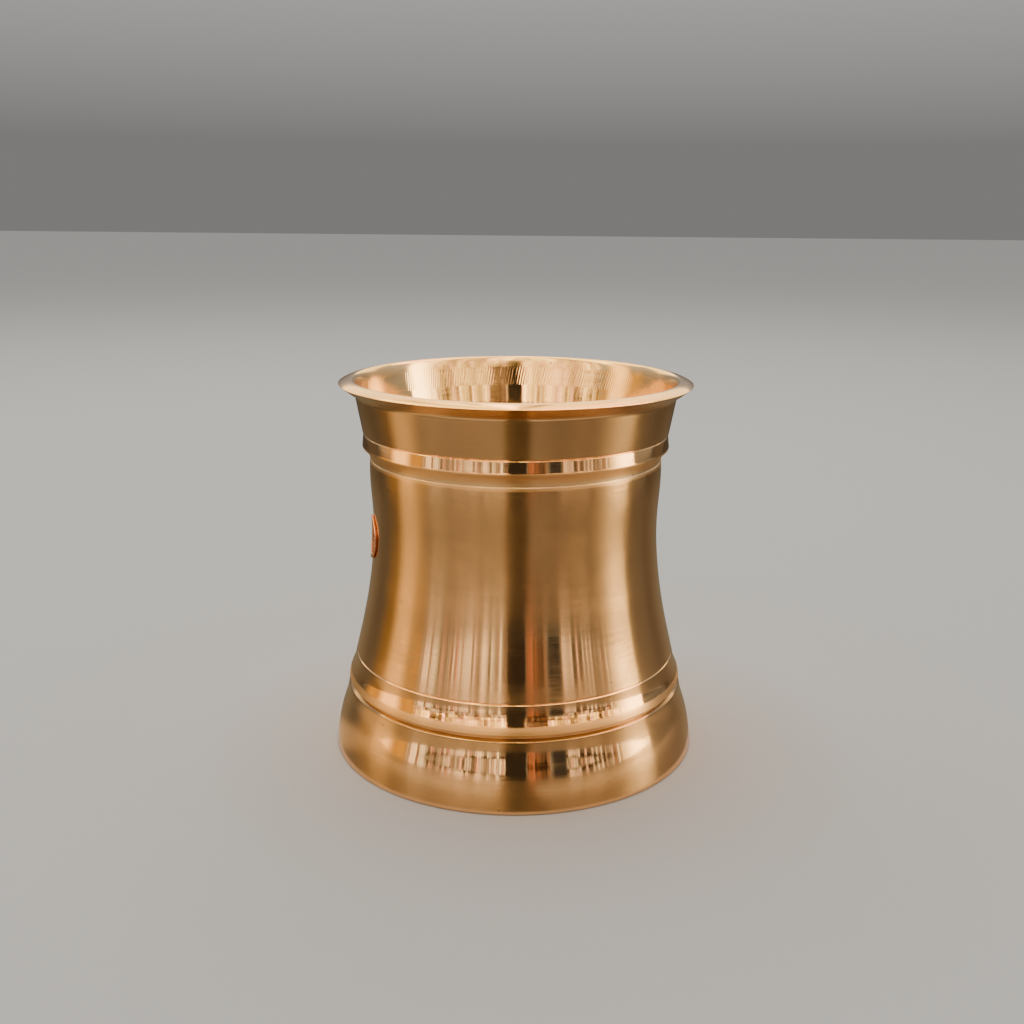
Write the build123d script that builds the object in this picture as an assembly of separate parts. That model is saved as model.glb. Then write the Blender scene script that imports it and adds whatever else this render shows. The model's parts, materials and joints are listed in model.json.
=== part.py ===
from build123d import *
import os

# A waisted brass pot, turned in three sections that lap into each other and are brazed,
# closed below by a let-in bottom plate, with one round medallion soldered on its side.
# Millimetres, +Z up, the pot's axis on Z, the origin at the middle of the plane it stands on.
# Every outline is a half section: points are (radius, height), spun about the axis.

# ---- driving dimensions ----
WALL = 1.3                        # thickness of a section's wall
BRAZE = 0.1                       # gap that the braze fills in a lap

FOOT_R = 49.95                    # outer radius where the pot stands
FOOT_CHAMFER = 0.25               # broken edge around the foot
SKIRT_TOP = (46.05, 17.6)         # where the skirt starts, just under the lower bead
SEAT_R = 48.4                     # turned seat for the bottom plate
SEAT_TOP_Z = 4.7                  # shoulder that stops the bottom plate

LOWER_CREASE = (45.15, 18.3)      # root of the groove under the lower bead
LOWER_NOSE = (45.9, 19.7)         # fullest point of the lower bead
LOWER_BEAD_TOP = (43.85, 26.3)    # sharp upper edge of the lower bead
LOWER_LAP_R = 43.55               # outer radius of the skirt's spigot
LOWER_LAP_TOP = 23.0
SPIGOT_BORE_R = 42.65             # inner radius of the skirt's spigot

WAIST_TOP_R = 38.98
WAIST_RIDGE = (39.06, 76.0)       # faint swelling under the upper bead
WAIST_NARROW = (38.48, 65.5)      # narrowest point of the pot

UPPER_CREASE = (38.85, 80.3)      # root of the groove under the upper bead
UPPER_NOSE = (40.85, 83.8)        # fullest point of the upper bead
UPPER_BEAD_TOP = (40.55, 86.7)    # sharp upper edge of the upper bead
UPPER_LAP_R = 38.2                # outer radius of the waist's spigot
UPPER_LAP_TOP = 85.2

COLLAR_TOP = (42.35, 96.2)        # where the straight collar turns out into the lip
LIP_EDGE = (46.75, 100.0)         # thin outer edge of the lip
LIP_CREST = (43.3, 101.15)        # highest line of the lip
THROAT = (41.45, 97.0)            # where the lip turns down into the collar's bore

PLATE_THICKNESS = 1.5
PLATE_CROWN = 0.9                 # rise of the plate's middle over its edge
PLATE_FLANGE_BOTTOM = 0.6
PLATE_FLANGE_WIDTH = 1.5

MEDALLION_R = 5.85
MEDALLION_Z = 59.0
MEDALLION_TURN = 79.5             # degrees round from the front (-Y) towards the left (-X)
MEDALLION_BACK = 0.1              # solder under the medallion
MEDALLION_RIM = 0.5               # thickness at the rim
MEDALLION_FIELD = 0.25            # thickness of the field inside the rim
MEDALLION_BOSS = 0.4              # thickness of the low boss in the middle
MEDALLION_RIM_WIDTH = 0.9
MEDALLION_BOSS_R = 1.7
PAD_R = 5.2


def spun(outline):
    """Solid made by spinning a closed half section about the pot's axis."""
    return revolve(Plane.XZ * make_face(outline), Axis.Z)


def inward(point, amount=WALL):
    """The point moved towards the axis."""
    return (point[0] - amount, point[1])


def waist_points():
    """Outer line of the waist from its top, under the upper bead, to the lower bead."""
    return [
        (WAIST_TOP_R, UPPER_CREASE[1] - 0.35),
        WAIST_RIDGE,
        WAIST_NARROW,
        (39.2, 50.0),
        (40.75, 40.0),
        (42.95, 30.0),
        (43.72, 26.75),
    ]


def collar():
    """Top section: the lip, the collar and the upper bead, socketed over the waist."""
    socket_r = UPPER_LAP_R + BRAZE
    socket_top = UPPER_LAP_TOP + BRAZE
    bore_low = (UPPER_CREASE[0] - WALL, socket_top)
    under_lip = (44.2, 98.1)
    bore_foot = (39.35, 88.2)
    collar_end = (40.72, 87.2)
    groove = (40.35, 86.95)
    under_bead = (40.55, 83.15)
    outline = [
        Line(LIP_EDGE, under_lip),
        ThreePointArc(under_lip, (42.75, 97.25), COLLAR_TOP),
        Line(COLLAR_TOP, collar_end),
        Polyline(collar_end, groove, UPPER_BEAD_TOP),
        Line(UPPER_BEAD_TOP, UPPER_NOSE),
        ThreePointArc(UPPER_NOSE, (40.83, 83.4), under_bead),
        ThreePointArc(under_bead, (39.45, 81.9), UPPER_CREASE),
        Polyline(UPPER_CREASE, (socket_r, UPPER_CREASE[1]), (socket_r, socket_top), bore_low),
        Spline(bore_low, (38.9, 86.7), bore_foot, tangents=[(0.8, 1.0), (0.239, 1.0)]),
        Line(bore_foot, THROAT),
        Spline(THROAT, (42.12, 99.6), LIP_CREST, tangents=[(0.239, 1.0), (1.0, 0.0)]),
        Spline(LIP_CREST, (45.3, 100.75), LIP_EDGE, tangents=[(1.0, -0.05), (1.0, -0.75)]),
    ]
    return spun(outline)


def waist_drum():
    """Middle section: a spigot for the collar, the waist and the lower bead with its socket."""
    outer = waist_points()
    spigot_bore = UPPER_CREASE[0] - WALL
    socket_r = LOWER_LAP_R + BRAZE
    socket_top = LOWER_LAP_TOP + BRAZE
    top_shoulder = (WAIST_TOP_R - 0.2, UPPER_CREASE[1] - 0.1)
    ledge = (43.55, 26.5)
    under_bead = (45.75, 18.95)
    bore_low = (SPIGOT_BORE_R, socket_top)
    inner = [inward(point) for point in outer[1:-1]]
    outline = [
        Polyline((spigot_bore, UPPER_LAP_TOP), (UPPER_LAP_R, UPPER_LAP_TOP),
                 (UPPER_LAP_R, top_shoulder[1]), top_shoulder, outer[0]),
        Spline(*outer),
        Polyline(outer[-1], ledge, LOWER_BEAD_TOP),
        Spline(LOWER_BEAD_TOP, (44.7, 23.0), LOWER_NOSE, tangents=[(0.2, -1.0), (0.1, -1.0)]),
        ThreePointArc(LOWER_NOSE, (45.93, 19.3), under_bead),
        Polyline(under_bead, LOWER_CREASE, (socket_r, LOWER_CREASE[1]), (socket_r, socket_top), bore_low),
        Spline(bore_low, *reversed(inner), (spigot_bore, UPPER_LAP_TOP)),
    ]
    return spun(outline)


def foot_skirt():
    """Bottom section: a spigot for the waist, the flared skirt and the seat of the plate."""
    spigot_foot = (LOWER_LAP_R, LOWER_CREASE[1] - 0.1)
    groove = (LOWER_CREASE[0] - 0.05, spigot_foot[1])
    foot = (FOOT_R, FOOT_CHAMFER)
    seat = (SEAT_R, SEAT_TOP_Z)
    shoulder = (SEAT_R - 0.6, SEAT_TOP_Z)
    bore_top = (SPIGOT_BORE_R, 18.6)
    outline = [
        Polyline(bore_top, (SPIGOT_BORE_R, LOWER_LAP_TOP), (LOWER_LAP_R, LOWER_LAP_TOP),
                 spigot_foot, groove, SKIRT_TOP),
        Spline(SKIRT_TOP, (46.75, 14.3), (48.12, 10.0), (49.25, 5.0), foot),
        Polyline(foot, (FOOT_R - FOOT_CHAMFER, 0.0), (SEAT_R, 0.0), seat, shoulder),
        Spline(shoulder, (46.7, 10.0), (45.1, 14.8), bore_top),
    ]
    return spun(outline)


def bottom_plate():
    """Slightly crowned disc with a turned-down flange, let into the foot from below."""
    rim_r = SEAT_R - BRAZE
    flange_bore = rim_r - PLATE_FLANGE_WIDTH
    under_z = SEAT_TOP_Z - PLATE_THICKNESS
    level, slope = (1.0, 0.0), (1.0, -2.0 * PLATE_CROWN / flange_bore)
    outline = [
        Line((0, SEAT_TOP_Z + PLATE_CROWN), (0, under_z + PLATE_CROWN)),
        Spline((0, under_z + PLATE_CROWN), (flange_bore, under_z), tangents=[level, slope]),
        Polyline((flange_bore, under_z), (flange_bore, PLATE_FLANGE_BOTTOM),
                 (rim_r, PLATE_FLANGE_BOTTOM), (rim_r, SEAT_TOP_Z), (flange_bore, SEAT_TOP_Z)),
        Spline((0, SEAT_TOP_Z + PLATE_CROWN), (flange_bore, SEAT_TOP_Z), tangents=[level, slope]),
    ]
    return spun(outline)


def braze_sleeve(inner_r, low_z, top_z, crease_width):
    """Thin sleeve of braze in a lap, with the line of it that shows in the crease."""
    outer_r = inner_r + BRAZE
    crease_z = low_z + BRAZE
    outline = Polyline(
        (inner_r, low_z), (inner_r, top_z), (outer_r, top_z), (outer_r, crease_z),
        (inner_r + crease_width, crease_z), (inner_r + crease_width, low_z), close=True)
    return spun(outline)


def upper_braze_ring():
    """Braze between the collar's socket and the waist's spigot."""
    return braze_sleeve(UPPER_LAP_R, UPPER_CREASE[1] - BRAZE, UPPER_LAP_TOP, 0.5)


def lower_braze_ring():
    """Braze between the waist's socket and the skirt's spigot."""
    return braze_sleeve(LOWER_LAP_R, LOWER_CREASE[1] - BRAZE, LOWER_LAP_TOP, 1.45)


def base_solder_ring():
    """Solder around the bottom plate, with a small fillet under its flange."""
    inner_r = SEAT_R - BRAZE
    outline = Polyline(
        (inner_r, SEAT_TOP_Z), (SEAT_R, SEAT_TOP_Z), (SEAT_R, 0.2),
        (inner_r - 0.5, PLATE_FLANGE_BOTTOM), (inner_r, PLATE_FLANGE_BOTTOM), close=True)
    return spun(outline)


def wall_layer(low, high):
    """Layer of revolution round the waist, between two distances from its outer wall."""
    near = [(r + low, z) for r, z in waist_points()]
    far = [(r + high, z) for r, z in waist_points()]
    outline = [
        Spline(*near),
        Line(near[-1], far[-1]),
        Spline(*far),
        Line(far[0], near[0]),
    ]
    return spun(outline)


def wall_disc(radius, low, high):
    """Round patch of such a layer, cut out straight towards the axis where the medallion sits."""
    turn = 270 - MEDALLION_TURN
    out = Vector(1, 0, 0).rotate(Axis.Z, turn)
    start = out * (WAIST_NARROW[0] - 3.0) + Vector(0, 0, MEDALLION_Z)
    punch = Plane(origin=start, z_dir=out) * extrude(Circle(radius), 8.0)
    return wall_layer(low, high).intersect(punch).solid()


def side_medallion():
    """Round medallion, bent to the wall, with a raised rim, a flat field and a low boss."""
    rim_top = MEDALLION_BACK + MEDALLION_RIM
    field = MEDALLION_BACK + MEDALLION_FIELD
    blank = wall_disc(MEDALLION_R, MEDALLION_BACK, rim_top)
    hollow = wall_disc(MEDALLION_R - MEDALLION_RIM_WIDTH, field, rim_top + 0.5)
    boss = wall_disc(MEDALLION_BOSS_R, MEDALLION_BACK, MEDALLION_BACK + MEDALLION_BOSS)
    return (blank - hollow) + boss


def medallion_solder(waist):
    """Thin pad of solder between the round wall and the medallion."""
    return wall_disc(PAD_R, -0.2, MEDALLION_BACK) - waist


def main():
    """Make every sub-part and write each to its own file."""
    os.makedirs("parts", exist_ok=True)
    waist = waist_drum()
    parts = {
        "collar": collar(),
        "waist_drum": waist,
        "foot_skirt": foot_skirt(),
        "bottom_plate": bottom_plate(),
        "upper_braze_ring": upper_braze_ring(),
        "lower_braze_ring": lower_braze_ring(),
        "base_solder_ring": base_solder_ring(),
        "side_medallion": side_medallion(),
        "medallion_solder": medallion_solder(waist),
    }
    for name, solid in parts.items():
        export_step(solid, f"parts/{name}.step")
        box = solid.bounding_box()
        print(f"{name}: {solid.volume:.0f} mm3, z {box.min.Z:.2f} to {box.max.Z:.2f}")


main()
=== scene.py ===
"""A waisted, coppery brass pot, turned in sections and brazed, with a small medallion on its side.

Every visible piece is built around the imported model, in metres, with the pot's axis on Z.
"""

from __future__ import annotations

import json
import logging
import math
from dataclasses import dataclass, field
from enum import Enum
from typing import Any

import bmesh
import bpy
import numpy as np
from mathutils import Matrix, Vector
from mathutils.bvhtree import BVHTree

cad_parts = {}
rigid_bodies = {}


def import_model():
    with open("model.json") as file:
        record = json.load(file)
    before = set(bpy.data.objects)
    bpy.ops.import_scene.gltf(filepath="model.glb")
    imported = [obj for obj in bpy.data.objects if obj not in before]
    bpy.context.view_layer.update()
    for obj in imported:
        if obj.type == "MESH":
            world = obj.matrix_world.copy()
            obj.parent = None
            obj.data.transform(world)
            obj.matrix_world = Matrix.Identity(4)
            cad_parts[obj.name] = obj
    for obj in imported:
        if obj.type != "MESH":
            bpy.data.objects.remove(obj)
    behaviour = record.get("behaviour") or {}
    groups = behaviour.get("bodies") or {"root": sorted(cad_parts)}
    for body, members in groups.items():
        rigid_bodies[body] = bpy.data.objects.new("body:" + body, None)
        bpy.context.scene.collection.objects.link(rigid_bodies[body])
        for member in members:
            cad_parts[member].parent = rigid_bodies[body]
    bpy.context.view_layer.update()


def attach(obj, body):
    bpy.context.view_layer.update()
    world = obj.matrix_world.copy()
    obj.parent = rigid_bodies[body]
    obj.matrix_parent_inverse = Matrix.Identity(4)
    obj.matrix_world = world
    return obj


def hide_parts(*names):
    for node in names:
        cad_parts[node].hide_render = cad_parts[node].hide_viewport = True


LOG = logging.getLogger("pot")
MM = 0.001
BODY = "root"
MERGE_DISTANCE = 1e-7
DEGENERATE_SIZE = 1e-8
CREASE_ANGLE = math.radians(38.0)

Point = tuple[float, float]
Colour = tuple[float, float, float]
Socket = bpy.types.NodeSocket


# ---------------------------------------------------------------- outlines


class Outline:
    """Half section of a turned piece, drawn with a pen in (radius, height), in millimetres."""

    SAME_PLACE = 1e-6
    LONGEST_ROUND = 0.45
    ROUND_STEPS = (0.0, 0.25, 0.5, 0.75, 1.0)

    def __init__(self, *start: Point) -> None:
        """Put the pen down at start, or nowhere yet."""
        self.points: list[Point] = list(start)

    def line(self, *ends: Point, step: float = 0.6) -> Outline:
        """Draw straight runs to each end in turn.

        Args:
            ends: the corners to draw to.
            step: longest distance between two points of a run.

        Returns:
            The outline itself, so that calls can be chained.
        """
        for end in ends:
            start = self.points[-1]
            count = max(1, math.ceil(math.dist(start, end) / step))
            for i in range(1, count + 1):
                t = i / count
                self.points.append((start[0] + t * (end[0] - start[0]), start[1] + t * (end[1] - start[1])))
        return self

    def arc(self, middle: Point, end: Point, step: float = 0.15) -> Outline:
        """Draw a circular arc through middle to end.

        Args:
            middle: a point on the arc.
            end: where the arc stops.
            step: longest distance between two points of the arc.

        Returns:
            The outline itself.
        """
        a, b, c = (np.array(p) for p in (self.points[-1], middle, end))
        normal = np.array([b - a, c - a])
        centre = a + np.linalg.solve(2.0 * normal, np.sum(normal * normal, axis=1))
        radius = float(np.linalg.norm(a - centre))
        angle_a, angle_b, angle_c = (math.atan2(*(p - centre)[::-1]) for p in (a, b, c))
        turn = (angle_c - angle_a) % math.tau
        if (angle_b - angle_a) % math.tau > turn:
            turn -= math.tau
        count = max(3, math.ceil(abs(turn) * radius / step))
        for i in range(1, count + 1):
            angle = angle_a + turn * i / count
            self.points.append((centre[0] + radius * math.cos(angle), centre[1] + radius * math.sin(angle)))
        return self

    def curve(self, *ends: Point, leave: Point | None = None, arrive: Point | None = None,
              step: float = 0.35) -> Outline:
        """Draw one smooth cubic curve through the ends in turn.

        Args:
            ends: the points that the curve passes.
            leave: direction at the start, or None to leave it free.
            arrive: direction at the end, or None to leave it free.
            step: longest distance between two points of the curve.

        Returns:
            The outline itself.
        """
        knots = np.array([self.points[-1], *ends], float)
        chords = np.linalg.norm(np.diff(knots, axis=0), axis=1)
        slopes = self._slopes(knots, chords, leave, arrive)
        for i, chord in enumerate(chords):
            count = max(2, math.ceil(chord / step))
            for k in range(1, count + 1):
                t = k / count
                point = ((2 * t**3 - 3 * t**2 + 1) * knots[i] + (t**3 - 2 * t**2 + t) * chord * slopes[i]
                         + (3 * t**2 - 2 * t**3) * knots[i + 1] + (t**3 - t**2) * chord * slopes[i + 1])
                self.points.append((float(point[0]), float(point[1])))
        return self

    @staticmethod
    def _slopes(knots: np.ndarray, chords: np.ndarray, leave: Point | None,
                arrive: Point | None) -> np.ndarray:
        """Work out the slope at each knot, so that the curvature has no jumps.

        Args:
            knots: the points of the curve.
            chords: the distances between them.
            leave: direction at the start, or None.
            arrive: direction at the end, or None.

        Returns:
            One slope for each knot.
        """
        last = len(knots) - 1
        matrix = np.zeros((last + 1, last + 1))
        right = np.zeros((last + 1, 2))
        for i in range(1, last):
            before, after = chords[i - 1], chords[i]
            matrix[i, i - 1:i + 2] = after, 2 * (before + after), before
            right[i] = 3 * (after / before * (knots[i] - knots[i - 1])
                            + before / after * (knots[i + 1] - knots[i]))
        for row, other, way, rise in ((0, 1, leave, knots[1] - knots[0]),
                                      (last, last - 1, arrive, knots[last] - knots[last - 1])):
            matrix[row, row] = 1.0
            if way is None:
                matrix[row, other] = 0.5
                right[row] = 1.5 * rise / np.linalg.norm(rise)
            else:
                right[row] = np.array(way) / np.linalg.norm(way)
        return np.linalg.solve(matrix, right)

    def softened(self, closed: bool, radius: float = 0.07, sharp: float = 0.35) -> list[Point]:
        """Round every corner a little, as a file or a polishing cloth leaves it.

        Args:
            closed: whether the last point joins the first.
            radius: how far back from a corner its round starts, in millimetres.
            sharp: smallest turn that counts as a corner, in radians.

        Returns:
            The points of the softened outline.
        """
        points = [np.array(p) for p in self.points]
        if closed and math.dist(points[0], points[-1]) < self.SAME_PLACE:
            points.pop()
        soft: list[Point] = []
        for i, here in enumerate(points):
            if not closed and i in (0, len(points) - 1):
                soft.append(tuple(here))
                continue
            back, ahead = points[i - 1] - here, points[(i + 1) % len(points)] - here
            size_back, size_ahead = np.linalg.norm(back), np.linalg.norm(ahead)
            turn = math.pi - math.acos(max(-1.0, min(1.0, float(back @ ahead) / (size_back * size_ahead))))
            if turn < sharp:
                soft.append(tuple(here))
                continue
            start = here + back * min(radius / size_back, self.LONGEST_ROUND)
            end = here + ahead * min(radius / size_ahead, self.LONGEST_ROUND)
            for t in self.ROUND_STEPS:
                soft.append(tuple((1 - t)**2 * start + 2 * t * (1 - t) * here + t**2 * end))
        return soft


# ---------------------------------------------------------------- node graphs


class Graph:
    """A node tree with one call for a node and everything that goes into it."""

    def __init__(self, tree: bpy.types.NodeTree) -> None:
        """Empty a tree and work on it."""
        self.tree = tree
        tree.nodes.clear()

    def node(self, kind: str, inputs: dict[Any, Any] | None = None, **settings: Any) -> bpy.types.Node:
        """Add a node.

        Args:
            kind: Blender's name for the kind of node.
            inputs: a value or an output to link, for each input's name or number.
            settings: the node's own properties.

        Returns:
            The new node.
        """
        node = self.tree.nodes.new(kind)
        for name, value in settings.items():
            setattr(node, name, value)
        for key, value in (inputs or {}).items():
            if isinstance(value, Socket):
                self.tree.links.new(value, node.inputs[key])
            else:
                node.inputs[key].default_value = value
        return node

    def out(self, kind: str, inputs: dict[Any, Any] | None = None, **settings: Any) -> Socket:
        """Add a node, as node() does, and return its first output."""
        return self.node(kind, inputs, **settings).outputs[0]

    def math(self, operation: str, a: Any, b: Any = 0.0, c: Any = 0.0) -> Socket:
        """Add a Math node and return its output."""
        return self.out("ShaderNodeMath", {0: a, 1: b, 2: c}, operation=operation)

    def times(self, a: Any, b: Any) -> Socket:
        """Multiply two numbers and return the product."""
        return self.math("MULTIPLY", a, b)

    def place(self) -> Socket:
        """Return the place of the spot, in object coordinates."""
        return self.node("ShaderNodeTexCoord").outputs["Object"]

    def vector(self, x: Any = 0.0, y: Any = 0.0, z: Any = 0.0) -> Socket:
        """Join three numbers into a vector."""
        return self.out("ShaderNodeCombineXYZ", {0: x, 1: y, 2: z})

    def split(self, vector: Socket) -> tuple[Socket, ...]:
        """Split a vector into its X, Y and Z."""
        return tuple(self.node("ShaderNodeSeparateXYZ", {0: vector}).outputs)

    def radial(self, axes: tuple[Socket, ...]) -> tuple[Socket, Socket]:
        """Measure a place from the pot's axis.

        Args:
            axes: the place's X, Y and Z.

        Returns:
            Its distance from the axis, and its direction away from it.
        """
        flat = self.vector(axes[0], axes[1])
        return (self.node("ShaderNodeVectorMath", {0: flat}, operation="LENGTH").outputs["Value"],
                self.out("ShaderNodeVectorMath", {0: flat}, operation="NORMALIZE"))

    def stretch(self, axes: tuple[Socket, ...], around: Any, across: Any) -> Socket:
        """Scale a place by one factor in X and Y and by another in Z."""
        return self.vector(*(self.times(axis, scale) for axis, scale in zip(axes, (around, around, across))))

    def noise(self, place: Socket, scale: float, detail: float, seed: Any = None) -> Socket:
        """Add a noise texture.

        Args:
            place: where it is read.
            scale: its scale.
            detail: its detail.
            seed: its fourth coordinate, or None for a noise with three.

        Returns:
            The noise, 0 to 1.
        """
        inputs = {0: place, "Scale": scale, "Detail": detail}
        if seed is None:
            return self.out("ShaderNodeTexNoise", inputs)
        return self.out("ShaderNodeTexNoise", {**inputs, "W": seed}, noise_dimensions="4D")

    def rings(self, axes: tuple[Socket, ...], radius: Socket, around: float, across: Any, seed: Any,
              detail: float) -> Socket:
        """Add noise drawn out round the axis, as the tool and the wheel leave it.

        Args:
            axes: the place's X, Y and Z.
            radius: distance from the axis.
            around: how fast a ring changes on its way round, in cycles per metre.
            across: rings to a metre.
            seed: which rings.
            detail: detail of the noise.

        Returns:
            The noise, 0 to 1.
        """
        turn = self.math("MULTIPLY_ADD", radius, across, seed)
        return self.noise(self.stretch(axes, around, across), 1.0, detail, turn)

    def ramp(self, value: Any, low: float, high: float, start: float = 0.0, end: float = 1.0,
             smooth: bool = False) -> Socket:
        """Go from start to end while a value goes from low to high, and no further.

        Args:
            value: the value to follow.
            low: where the ramp starts.
            high: where the ramp ends.
            start: what it gives up to low.
            end: what it gives from high on.
            smooth: whether it sets off and arrives gently.

        Returns:
            The ramp's output.
        """
        return self.out("ShaderNodeMapRange", {0: value, 1: low, 2: high, 3: start, 4: end},
                        interpolation_type="SMOOTHSTEP" if smooth else "LINEAR")

    def window(self, value: Any, low: float, high: float, edge: float) -> Socket:
        """Give 1 where a value lies between two limits and 0 outside, with soft edges.

        Args:
            value: the output to test.
            low: lower limit.
            high: upper limit.
            edge: width of each soft edge.

        Returns:
            The factor's output.
        """
        return self.times(self.ramp(value, low - edge, low + edge, smooth=True),
                          self.ramp(value, high - edge, high + edge, 1.0, 0.0, smooth=True))

    def band(self, height: Socket, low: float, high: float, edge: float) -> Socket:
        """Give 1 between two heights and 0 outside, as window() does, in millimetres."""
        return self.window(height, low * MM, high * MM, edge * MM)

    def blend(self, factor: Any, a: Any, b: Any) -> Socket:
        """Mix two colours by a factor and return the colour."""
        a, b = ((*end, 1.0) if isinstance(end, tuple) else end for end in (a, b))
        return self.node("ShaderNodeMix", {0: factor, 6: a, 7: b}, data_type="RGBA").outputs[2]

    def metal(self, colour: Socket, roughness: Socket, relief: Socket, strength: float, depth: float,
              others: dict[str, Any] | None = None) -> None:
        """End a material with the shader of a metal.

        Args:
            colour: the metal's colour.
            roughness: its roughness.
            relief: the relief of its surface.
            strength: how strongly the relief shows.
            depth: depth of the relief, in millimetres.
            others: a value for each other input of the shader.
        """
        bump = self.out("ShaderNodeBump", {"Height": relief, "Strength": strength, "Distance": depth * MM})
        shader = self.out("ShaderNodeBsdfPrincipled", {
            "Metallic": 1.0, "Base Color": colour, "Roughness": roughness, "Normal": bump, **(others or {})})
        self.node("ShaderNodeOutputMaterial", {0: shader})


def new_material(name: str) -> tuple[bpy.types.Material, Graph]:
    """Make a material.

    Args:
        name: its name.

    Returns:
        The material, and the graph to build it with.
    """
    material = bpy.data.materials.new(name)
    material.use_nodes = True
    return material, Graph(material.node_tree)


def new_mesh(name: str, points: list[Any], edges: list[Any], faces: list[Any]) -> bpy.types.Mesh:
    """Make a mesh.

    Args:
        name: its name.
        points: its points, in metres.
        edges: its loose edges.
        faces: its faces.

    Returns:
        The mesh.
    """
    mesh = bpy.data.meshes.new(name)
    mesh.from_pydata(points, edges, faces)
    return mesh


def new_object(name: str, data: Any) -> bpy.types.Object:
    """Make an object and link it to the scene.

    Args:
        name: its name.
        data: its mesh, light or camera.

    Returns:
        The object.
    """
    thing = bpy.data.objects.new(name, data)
    bpy.context.scene.collection.objects.link(thing)
    return thing


# ---------------------------------------------------------------- finishes


class Polish(Enum):
    """How far a zone was polished: the roughness that the wheel leaves."""

    MIRROR = 0.05
    BRIGHT = 0.07
    SATIN = 0.14
    TOOLED = 0.26
    CLOUDY = 0.36


@dataclass(frozen=True)
class Zone:
    """Band of heights on a turned piece that has its own polish, in millimetres."""

    low: float
    high: float
    polish: Polish
    edge: float = 0.15
    bore_only: bool = False


class Surface:
    """What the brass reads at each spot: its place, the way it faces, its rings and its stains."""

    FINE_PITCH = 0.16
    COARSE_PITCH = 1.1

    def __init__(self, graph: Graph, seed: float) -> None:
        """Add the nodes that read it.

        Args:
            graph: the material's graph.
            seed: which rings and stains.
        """
        self.graph = graph
        self.place = graph.place()
        self.axes = graph.split(self.place)
        radius, outward = graph.radial(self.axes)
        facing = graph.node("ShaderNodeVectorMath", {
            0: graph.node("ShaderNodeNewGeometry").outputs["Normal"], 1: outward},
            operation="DOT_PRODUCT").outputs["Value"]
        self.bore = graph.ramp(facing, -0.25, 0.0, 1.0, 0.0)
        self.fine = graph.rings(self.axes, radius, 90.0, 1.0 / (self.FINE_PITCH * MM), seed, 2.0)
        self.coarse = graph.rings(self.axes, radius, 25.0, 1.0 / (self.COARSE_PITCH * MM), seed, 1.0)
        self.clouds = graph.noise(self.place, 55.0, 5.0, seed)
        self.smudge = graph.noise(self.place, 190.0, 3.0, seed + 4.0)


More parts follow.
